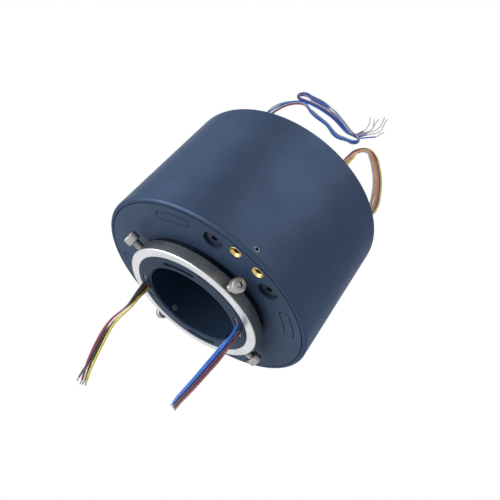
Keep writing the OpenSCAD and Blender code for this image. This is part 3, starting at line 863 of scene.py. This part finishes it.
def tube(name: str, points: Sequence[Vector], diameter: float) -> bpy.types.Object:
    """Makes a round tube along a smooth line.

    Args:
        name: The piece's name.
        points: The line's points, in metres.
        diameter: The tube's diameter in millimetres.

    Returns:
        A curve of one open spline.
    """
    data = bpy.data.curves.new(name, "CURVE")
    data.dimensions = "3D"
    data.resolution_u = STEPS_ALONG
    data.bevel_depth = diameter / 2 * MM
    data.bevel_resolution = STEPS_AROUND
    data.use_fill_caps = True
    spline = data.splines.new("BEZIER")
    spline.bezier_points.add(len(points) - 1)
    for knot, point in zip(spline.bezier_points, points):
        knot.co = point
        knot.handle_left_type = knot.handle_right_type = "AUTO"
    piece = bpy.data.objects.new(name, data)
    bpy.context.scene.collection.objects.link(piece)
    return piece


def line_length(piece: bpy.types.Object) -> float:
    """Gives the length of a curve piece's line, in metres."""
    return sum(spline.calc_length() for spline in piece.data.splines)


def staggered(turn: float, pitch: float = 1.5) -> tuple[tuple[float, float], ...]:
    """Gives six lanes in two rows that lie in each other's gaps.

    Args:
        turn: The angle of the rows in the section, in degrees.
        pitch: The step between two wires of a row, in millimetres.

    Returns:
        The lanes: three of the upper row, then three of the lower one.
    """
    angle = math.radians(turn)
    lanes = []
    for depth, steps in ((0.5, (-1.25, -0.25, 0.75)), (-0.5, (-0.75, 0.25, 1.25))):
        for step in steps:
            along = step * pitch
            lanes.append((
                along * math.cos(angle) - depth * math.sin(angle),
                along * math.sin(angle) + depth * math.cos(angle),
            ))
    return tuple(lanes)


def slot_row(angle: float, radius: float = 28.8, pitch: float = 2.7) -> tuple[Point, ...]:
    """Gives where six wires leave an arc slot, relative to the slot's middle.

    Args:
        angle: The slot's angle about the bore.
        radius: The slot's radius in millimetres.
        pitch: The angle between two wires.

    Returns:
        Six offsets in millimetres.
    """
    middle = math.radians(angle)
    row = []
    for k in range(WIRES):
        a = math.radians(angle + (k - (WIRES - 1) / 2) * pitch)
        across = radius * (math.cos(a) - math.cos(middle))
        up = radius * (math.sin(a) - math.sin(middle))
        row.append((across, 0.0, up))
    return tuple(row)


def front_left() -> Bundle:
    """Describes the short bundle on the left of the sleeve's face.

    Returns:
        The bundle, not built yet.
    """
    points = [
        (-28.5, -9.8, -4), (-28.5, -15, -4), (-29, -21, -5.5), (-31, -26, -9), (-34.5, -31, -14),
        (-37.5, -36.5, -21), (-40, -42, -29), (-42, -47.5, -37.5), (-43.5, -53, -46), (-44, -57, -52),
    ]
    rows = [1.0, 0.55, 0.15] + [0.0] * 7
    spread = [0.0, 0.2, 0.3, 0.15, 0.35, 0.9, 1.2, 1.0, 0.6, 0.35]
    return Bundle(
        name="front_left_lead",
        body=Body.ROTOR,
        slot=Slot.RED_WIRE,
        nodes=("front_left_lead", "front_left_tips"),
        route=[Stop(point, flat, row) for point, flat, row in zip(points, spread, rows)],
        exit_row=slot_row(188),
        section=staggered(31),
        tip_length=3.0,
        stations=(0.0, 0.45, 1.0),
        wires=[
            Wire(WireColour.BLACK, (5, 1, 1)),
            Wire(WireColour.TEAL, (3, 3, 3), (Bow(1.0, 0.28, 3.0, 1.2),)),
            Wire(WireColour.RED, (2, 5, 5)),
            Wire(WireColour.MAROON, (4, 2, 2)),
            Wire(WireColour.YELLOW, (0, 0, 0)),
            Wire(WireColour.WHITE, (1, 4, 4)),
        ],
    )


def front_right() -> Bundle:
    """Describes the short bundle on the right of the sleeve's face.

    Returns:
        The bundle, not built yet.
    """
    points = [
        (28.5, -9.8, 4), (28.5, -15, 4), (27.5, -20, 2), (25.5, -24.5, -3.5), (22.5, -29, -11),
        (19, -33, -20), (15, -37, -30), (11, -40, -40), (7.5, -42, -50),
    ]
    rows = [1.0, 0.5, 0.1] + [0.0] * 6
    spread = [0.0, 0.4, 0.8] + [1.0] * 6
    return Bundle(
        name="front_right_lead",
        body=Body.ROTOR,
        slot=Slot.BLUE_WIRE,
        nodes=("front_right_lead", "front_right_tips"),
        route=[Stop(point, flat, row) for point, flat, row in zip(points, spread, rows)],
        exit_row=slot_row(8),
        section=staggered(46, 1.4),
        tip_length=3.0,
        stations=(0.0, 0.5, 1.0),
        wires=[
            Wire(WireColour.PURPLE, (1, 1, 1)),
            Wire(WireColour.BROWN_RED, (0, 0, 0)),
            Wire(WireColour.GREY, (3, 3, 3)),
            Wire(WireColour.DARK_BLUE, (4, 4, 4)),
            Wire(WireColour.SKY_BLUE, (5, 5, 5)),
            Wire(WireColour.BLUE, (2, 2, 2)),
        ],
    )


def rear_left() -> Bundle:
    """Describes the long bundle that is folded into a flat hank behind the housing.

    Returns:
        The bundle, not built yet.
    """
    outside = from_rear_face([
        (-48.8, -3.5, -12.2), (-48.8, 4.5, -12.2), (-48.8, 11.5, -13.7), (-49, 17.5, -18), (-49.5, 22.5, -25),
        (-50, 26.5, -33), (-51, 30.5, -41), (-53, 35.5, -49), (-56, 42.5, -55), (-60, 51.5, LIE),
        (-65, 63.5, LIE), (-71, 76.5, LIE), (-77, 90.5, LIE), (-82, 104.5, LIE), (-84.2, 118.5, LIE),
        (-82.6, 130.5, LIE), (-80.2, 140.5, LIE), (-77.0, 147.6, LIE), (-73.0, 152.6, LIE),
    ])
    folded = [
        (x, y, LIE)
        for x, y in (
            (-68.6, 231), (-64.2, 232.0), (-60.2, 230.4), (-56, 227.6), (-50.5, 224.8), (-45, 222.2),
            (-39.5, 219.8), (-34, 217.2), (-29.5, 214.2), (-25, 211.4), (-20.5, 209.9), (-16, 209.5),
            (-12.5, 209.0), (-8.6, 208.8), (-5.6, 210.1), (-4.3, 213.0), (-5.6, 215.9), (-8.6, 217.2),
            (-12.8, 217.4), (-16.6, 218.4), (-22.4, 222.0), (-28.2, 226.0), (-34.6, 229.4), (-42, 232.2),
            (-50, 234.4), (-58, 235.8), (-65, 235.5), (-69.4, 235.2), (-72.3, 236.4), (-73.5, 239.3),
            (-72.3, 242.2), (-69.4, 243.4), (-64.8, 242.5),
        )
    ] + [
        (-60, 239.6, -57.2), (-53, 237.6, -56.4), (-46, 235.6, -55.9), (-38.4, 233.0, -55.8),
        (-31.2, 229.8, -55.8), (-25.2, 225.8, -55.8), (-19.4, 221.6, -56.0), (-15.0, 218.8, -56.6),
        (-11.4, 217.6, -57.4),
    ]
    flat = [0.0] * 7 + [0.2, 0.5, 0.8] + [1.0] * 6 + [0.8, 0.7, 0.6]
    folds = [0.5, 0.5, 0.8, 1.2, 1.2, 0.7, 0.3, 0.1, 0.3, 0.8, 1.0, 0.6, -0.2] + [-1.0] * 5 + [-0.5, 0.1, 0.4]
    folds += [0.6] * 5 + [0.1] + [-1.0] * 5 + [-0.4, 0.0] + [0.2] * 8
    tail_z = FLOOR + WIRE_D / 2
    tip_z = FLOOR + TINNED_D / 2

    def on_floor(*pairs: tuple[float, float], z: float = tail_z) -> tuple[Point, ...]:
        """Lays pairs of x and y on the floor."""
        return tuple((x, y, z) for x, y in pairs)

    return Bundle(
        name="rear_left_lead",
        body=Body.STATOR,
        slot=Slot.BLUE_WIRE,
        nodes=("rear_left_lead", "rear_left_hank", "rear_left_tail", "rear_left_tips_tinned"),
        route=[Stop(point, f) for point, f in zip(outside + folded, flat + folds)],
        stations=(0.0, 0.36, 0.47, 0.51, 0.63, 0.68, 0.80, 0.85, 0.90, 0.94, 1.0),
        wires=[
            Wire(
                WireColour.BLUE, (4, 4, 4, 5, 5, 0, 0, 4, 4, 3, 3), (),
                on_floor((-7.2, 217.0), (-3.4, 219.0), (0.0, 222.0), (3.0, 224.4), (5.0, 226.2)),
                on_floor((6.3, 229.0), (7.2, 232.4), (8.4, 235.2), z=tip_z),
            ),
            Wire(
                WireColour.DARK_BLUE, (0, 0, 0, 3, 3, 4, 4, 5, 5, 2, 2), (),
                on_floor((-7.6, 218.4), (-4.4, 221.4), (-1.8, 225.0)),
                on_floor(
                    (1.5, 228.2), (4.2, 232.2), (5.6, 237.0), (5.0, 242.4), (4.2, 248.0), (4.3, 252.2),
                    z=tip_z,
                ),
            ),
            Wire(
                WireColour.LILAC, (5, 5, 5, 1, 1, 5, 5, 3, 3, 5, 5), (),
                on_floor((-8.2, 219.4), (-5.4, 223.0), (-2.8, 226.8)),
                on_floor((0.1, 231.0), (2.1, 235.6), (3.0, 240.2), (2.4, 246.6), (1.2, 253.2), z=tip_z),
            ),
            Wire(
                WireColour.GREY, (1, 1, 1, 4, 4, 3, 3, 0, 0, 4, 4),
                (Bow(0.42, 0.07, -3.6, 0.0), Bow(0.88, 0.06, -3.2, 0.2)),
                on_floor((-8.6, 220.2), (-6.2, 223.4), (-4.6, 226.0)),
                on_floor((-2.2, 230.2), (-1.5, 235.6), (-2.0, 242.0), (-1.7, 248.6), z=tip_z),
            ),
            Wire(
                WireColour.BROWN_RED, (3, 3, 3, 0, 0, 1, 1, 1, 1, 1, 1), (),
                on_floor((-9.2, 220.4), (-7.2, 223.4), (-5.6, 225.8)),
                on_floor((-3.2, 228.8), (-1.7, 232.0), (-1.6, 236.0), (-3.2, 241.2), (-5.2, 246.4), z=tip_z),
            ),
            Wire(
                WireColour.PURPLE, (2, 2, 2, 2, 2, 2, 2, 2, 2, 0, 0), (Bow(0.885, 0.07, -4.6, 0.4),),
                on_floor((-9.8, 220.4), (-8.0, 223.6), (-6.7, 227.0)),
                on_floor((-5.8, 231.4), (-5.8, 236.2), (-7.0, 241.6), (-9.0, 246.8), z=tip_z),
            ),
        ],
    )


def rear_right() -> Bundle:
    """Describes the long bundle that makes one open loop and ends in a tied hank.

    Returns:
        The bundle, not built yet.
    """
    outside = from_rear_face([
        (12.2, -3.5, -48.8), (12.2, 4.5, -48.8), (12.1, 12.5, -50.7), (12, 20.5, -54.5), (11.5, 29.5, -57.2),
        (10.5, 40.5, LIE), (8.5, 53.5, LIE), (6, 66.5, LIE), (3, 79.5, LIE), (0, 92.5, LIE),
        (-1.6, 105.5, LIE), (-1.2, 117.5, LIE), (1.2, 127.5, LIE), (7, 131.8, LIE), (13.6, 127.2, LIE),
        (20, 118, LIE), (26.6, 106.2, LIE), (31.8, 93, LIE), (35.4, 79.5, LIE), (34.8, 69.5, LIE),
        (32.4, 64.4, LIE),
    ])
    low, high = LIE, LIE + 2.6
    folded = [
        (32.8, 133, low), (32.4, 122, low), (31.4, 110, low), (30.6, 99, low), (30.2, 94.4, low),
        (29, 91.2, low), (26.1, 89.9, low), (23.2, 91.2, low), (22, 94.4, low), (22.3, 99, low),
        (23.4, 110, low), (24, 122, low + 0.2), (24.2, 129.4, low + 0.7), (25.4, 132.4, low + 1.2),
        (28.4, 133.7, high - 1.2), (31.4, 132.4, high - 0.8), (32.6, 129.4, high - 0.2), (32.4, 122, high),
        (31.2, 110, high), (30, 99, high), (28.6, 92, high - 0.6),
    ]
    layers = [0.6, 0.2, 0.0, 0.0] + [-1.0] * 6 + [0.0, 0.0] + [-1.0] * 5 + [0.0] * 4
    flat = [0.0, 0.0, 0.1, 0.4, 0.8] + [1.0] * 4 + [1.2, 1.4, 1.6, 1.8] + [2.0] * 6 + [1.6, 1.2]
    return Bundle(
        name="rear_right_lead",
        body=Body.STATOR,
        slot=Slot.YELLOW_WIRE,
        nodes=("rear_right_lead", "rear_right_hank", "rear_right_tips"),
        route=[Stop(point, f) for point, f in zip(outside + folded, flat + layers)],
        stations=(0.0, 0.33, 0.42, 0.60, 1.0),
        section=[(1.2 * side, up) for side, up in FLAT_LANES],
        wires=[
            Wire(WireColour.YELLOW, (5, 5, 0, 0, 0)),
            Wire(WireColour.ORANGE, (4, 4, 3, 3, 3)),
            Wire(WireColour.OLIVE, (3, 3, 4, 4, 4)),
            Wire(WireColour.BLACK, (0, 0, 1, 1, 1)),
            Wire(WireColour.PINK, (1, 1, 2, 2, 2)),
            Wire(WireColour.LILAC, (2, 2, 5, 5, 5)),
        ],
    )


# ------------------------------------------------------------------ screws

CLAMP_SCREWS = 4


@dataclass(frozen=True)
class ClampScrew:
    """A socket screw with a knurled head and a rolled thread, backed out of the collar.

    Sizes are in millimetres. The wall runs down the head as (inset, depth below the top, share of knurling).
    """

    index: int
    first_angle: float = 53.0
    angle_step: float = 90.0
    plane: float = -6.15
    head_top: float = 45.6
    head_d: float = 7.0
    head_h: float = 4.0
    wall: tuple[Point, ...] = ((0.5, 0.0, 0), (0.15, 0.12, 0), (0.0, 0.4, 1), (0.0, 3.7, 1), (0.25, 4.0, 0))
    knurls: int = 30
    knurl_depth: float = 0.09
    key: float = 3.0
    key_chamfer: float = 0.12
    key_lip: float = 0.15
    key_depth: float = 2.2
    key_cone: float = 0.5
    shank_d: float = 4.0
    shank_l: float = 16.0
    overlap: float = 0.05
    pitch: float = 0.7
    thread_depth: float = 0.38
    thread_sides: int = 32
    steps_per_turn: int = 6
    crest_width: float = 1.25
    run_out: float = 0.8

    def make(self, wardrobe: Wardrobe) -> bpy.types.Object:
        """Builds the screw in its place and hides the plain one.

        Args:
            wardrobe: The finishes.

        Returns:
            The screw.
        """
        build = bmesh.new()
        self.head(build)
        self.thread(build)
        angle = math.radians(self.first_angle + self.angle_step * self.index)
        out = Vector((math.cos(angle), 0.0, math.sin(angle)))
        along = Vector((0.0, 1.0, 0.0))
        across = out.cross(along)
        centre = Vector((0.0, self.plane, 0.0))
        for vertex in build.verts:
            x, y, z = vertex.co
            vertex.co = (centre + out * z + along * x + across * y) * MM
        bmesh.ops.recalc_face_normals(build, faces=build.faces)
        name = f"clamp_screw_{self.index + 1}"
        mesh = bpy.data.meshes.new(f"{name}_detailed")
        build.to_mesh(mesh)
        build.free()
        piece = bpy.data.objects.new(f"{name}_detailed", mesh)
        bpy.context.scene.collection.objects.link(piece)
        wardrobe.dress(piece, SCREW_STEEL)
        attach(piece, f"{name}_body")
        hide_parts(name)
        LOG.info("%s: %s", name, SCREW_STEEL.name)
        return piece

    def head(self, build: bmesh.types.BMesh) -> None:
        """Adds the head: a knurled wall, chamfers and a socket.

        Args:
            build: The mesh of the screw, in millimetres.
        """
        sides = self.knurls * 4
        turns = [2 * math.pi * k / sides for k in range(sides)]
        rings = []
        for inset, drop, knurled in self.wall:
            z = self.head_top - drop
            ring = []
            for a in turns:
                depth = self.knurl_depth * knurled * (0.5 + 0.5 * math.cos(self.knurls * a))
                radius = self.head_d / 2 - inset - depth
                ring.append(build.verts.new((radius * math.cos(a), radius * math.sin(a), z)))
            rings.append(ring)
        self.bridge(build, rings)
        build.faces.new(list(reversed(rings[-1])))
        self.socket(build, rings[0], turns)

    def socket(self, build: bmesh.types.BMesh, rim: Ring, turns: Sequence[float]) -> None:
        """Adds the six-sided socket inside the head's rim.

        Args:
            build: The mesh of the screw, in millimetres.
            rim: The corners around the head's top.
            turns: Their angles.
        """
        flat = self.key / 2
        outline = [flat / math.cos((a % (math.pi / 3)) - math.pi / 6) for a in turns]
        levels = []
        for wider, drop in ((self.key_chamfer, 0.0), (0.0, self.key_lip), (0.0, self.key_depth)):
            z = self.head_top - drop
            levels.append([
                build.verts.new(((reach + wider) * math.cos(a), (reach + wider) * math.sin(a), z))
                for reach, a in zip(outline, turns)
            ])
        self.bridge(build, [rim, *levels])
        deep = levels[-1]
        point = build.verts.new((0.0, 0.0, self.head_top - self.key_depth - self.key_cone))
        for k, corner in enumerate(deep):
            build.faces.new((corner, deep[(k + 1) % len(deep)], point))

    def thread(self, build: bmesh.types.BMesh) -> None:
        """Adds the shank with its helical thread, which runs out at the tip.

        Args:
            build: The mesh of the screw, in millimetres.
        """
        root = self.shank_d / 2 - self.thread_depth
        top = self.head_top - self.head_h + self.overlap
        tip = top - self.shank_l
        steps = int(self.shank_l / self.pitch * self.steps_per_turn)
        rings = []
        for i in range(steps + 1):
            z = top - self.shank_l * i / steps
            room = min(1.0, (z - tip) / self.run_out)
            ring = []
            for k in range(self.thread_sides):
                a = 2 * math.pi * k / self.thread_sides
                phase = ((z / self.pitch) + k / self.thread_sides) % 1.0
                height = min(1.0, self.crest_width * (1 - abs(2 * phase - 1)))
                radius = root + self.thread_depth * min(height, room)
                ring.append(build.verts.new((radius * math.cos(a), radius * math.sin(a), z)))
            rings.append(ring)
        self.bridge(build, rings)
        build.faces.new(rings[0])
        build.faces.new(list(reversed(rings[-1])))

    def bridge(self, build: bmesh.types.BMesh, rings: Sequence[Ring]) -> None:
        """Joins each ring of corners to the next with quads.

        Args:
            build: The mesh of the screw.
            rings: The rings, each with the same number of corners.
        """
        for upper, lower in zip(rings, rings[1:]):
            count = len(upper)
            for k in range(count):
                build.faces.new((upper[k], upper[(k + 1) % count], lower[(k + 1) % count], lower[k]))


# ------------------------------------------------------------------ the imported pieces


@dataclass(frozen=True)
class SubAssembly:
    """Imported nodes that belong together. They keep their own shape and get their finish here."""

    def finishes(self) -> dict[str, Finish]:
        """Gives the finish of each node."""
        raise NotImplementedError

    def dress(self, wardrobe: Wardrobe) -> None:
        """Gives each node its finish.

        Args:
            wardrobe: The finishes.
        """
        for name, finish in self.finishes().items():
            wardrobe.dress(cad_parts[name], finish)
            LOG.info("%s: %s", name, finish.name)


@dataclass(frozen=True)
class Housing(SubAssembly):
    """The shell, its two caps, and what is screwed or pressed into them."""

    shell: Finish = SHELL
    cap: Finish = CAP
    insert: Finish = BRASS
    cap_screw: Finish = BLACK_STEEL
    set_screw: Finish = SET_STEEL
    grommet: Finish = RUBBER

    def finishes(self) -> dict[str, Finish]:
        """Gives the finish of each node."""
        return {
            "shell": self.shell,
            "front_cap": self.cap,
            "rear_cap": self.cap,
            "front_outlet_plugs": self.cap,
            "rear_outlet_plugs": self.cap,
            "threaded_inserts": self.insert,
            "front_cap_screws": self.cap_screw,
            "rear_cap_screws": self.cap_screw,
            "shell_set_screws": self.set_screw,
            "lead_grommets": self.grommet,
        }


@dataclass(frozen=True)
class Rotor(SubAssembly):
    """The sleeve with its collar and retaining rings, and the resin and wires in its slots."""

    sleeve: Finish = SLEEVE
    collar: Finish = COLLAR
    retaining_ring: Finish = SPRING_STEEL
    resin: Finish = RESIN
    wires: Finish = WireColour.BLUE.value

    def finishes(self) -> dict[str, Finish]:
        """Gives the finish of each node."""
        return {
            "sleeve": self.sleeve,
            "clamp_collar": self.collar,
            "front_retaining_ring": self.retaining_ring,
            "rear_retaining_ring": self.retaining_ring,
            "slot_potting": self.resin,
            "slot_wires": self.wires,
        }


@dataclass(frozen=True)
class BallBearing(SubAssembly):
    """A thin-section bearing at one end of the housing."""

    end: str
    race: Finish = BEARING_STEEL
    ball: Finish = BEARING_STEEL
    cage: Finish = CAGE_METAL

    def finishes(self) -> dict[str, Finish]:
        """Gives the finish of each node."""
        return {
            f"{self.end}_outer_race": self.race,
            f"{self.end}_inner_race": self.race,
            f"{self.end}_balls": self.ball,
            f"{self.end}_cage": self.cage,
        }


@dataclass(frozen=True)
class ContactStack(SubAssembly):
    """The barrel with its contact rings, and the brushes with their holders and leads."""

    barrel: Finish = BARREL
    ring: Finish = RING_METAL
    brush: Finish = BRUSH_METAL
    holder: Finish = BOARD
    leads: Finish = WireColour.BLUE.value

    def finishes(self) -> dict[str, Finish]:
        """Gives the finish of each node."""
        return {
            "ring_barrel": self.barrel,
            "contact_rings": self.ring,
            "brushes_a": self.brush,
            "brushes_b": self.brush,
            "brush_holder_a": self.holder,
            "brush_holder_b": self.holder,
            "inner_stator_leads": self.leads,
        }


@dataclass(frozen=True)
class HankTie(SubAssembly):
    """The band around the hank at the rear right."""

    band: Finish = NYLON

    def finishes(self) -> dict[str, Finish]:
        """Gives the finish of the band."""
        return {"hank_tie": self.band}


def main() -> None:
    """Builds the camera and leads first, then the screws, the finishes and the room."""
    logging.basicConfig(level=logging.INFO)
    bpy.context.scene.view_settings.view_transform = "Standard"
    studio = Studio()
    studio.place_camera()
    wardrobe = Wardrobe()
    for bundle in (front_left(), front_right(), rear_left(), rear_right()):
        bundle.make(wardrobe)
    for index in range(CLAMP_SCREWS):
        ClampScrew(index).make(wardrobe)
    for group in (Housing(), Rotor(), BallBearing("front"), BallBearing("rear"), ContactStack(), HankTie()):
        group.dress(wardrobe)
    studio.lay_floor()
    studio.light_room()


if __name__ == "__main__":
    main()
